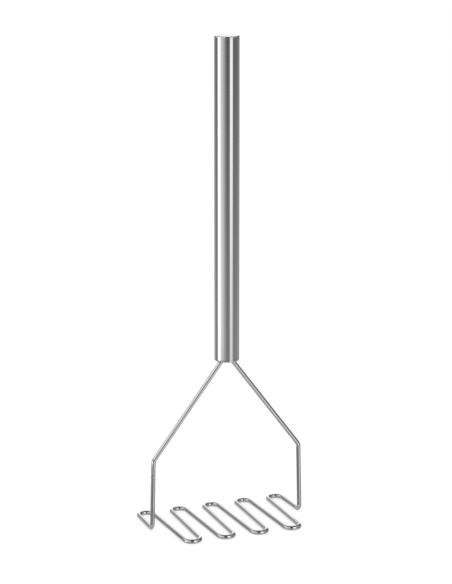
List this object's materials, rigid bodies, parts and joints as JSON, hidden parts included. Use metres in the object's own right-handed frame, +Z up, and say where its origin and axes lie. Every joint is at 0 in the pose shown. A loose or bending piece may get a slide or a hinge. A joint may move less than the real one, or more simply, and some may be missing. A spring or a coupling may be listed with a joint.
{
  "type": "potato masher",
  "caption": "Long round steel handle closed at both ends, with one bent wire that forms two legs and a flat zigzag mashing head.",
  "frame": {"origin": "on the surface that the mashing head stands on, below the handle's axis", "axes": "+Z up along the handle, +X across the head from leg to leg, +Y to the side of the head's outermost turns"},
  "size_m": [0.1526, 0.0952, 0.4572],
  "materials": {
    "handle_steel": "polished stainless tube with a fine lengthwise grain",
    "cap_steel": "pressed stainless cap, fine ground face",
    "ground_weld": "weld ring ground flush and polished",
    "wire_steel": "bright drawn stainless wire, electropolished",
    "weld_bead": "rippled weld bead, satin"
  },
  "bodies": {
    "root": {"handle_tube": "handle_steel", "top_cap": "cap_steel", "top_seam_weld": "ground_weld", "bottom_cap": "cap_steel", "bottom_seam_weld": "ground_weld", "masher_wire": "wire_steel", "left_wire_weld": "weld_bead", "right_wire_weld": "weld_bead"}
  },
  "joints": []
}
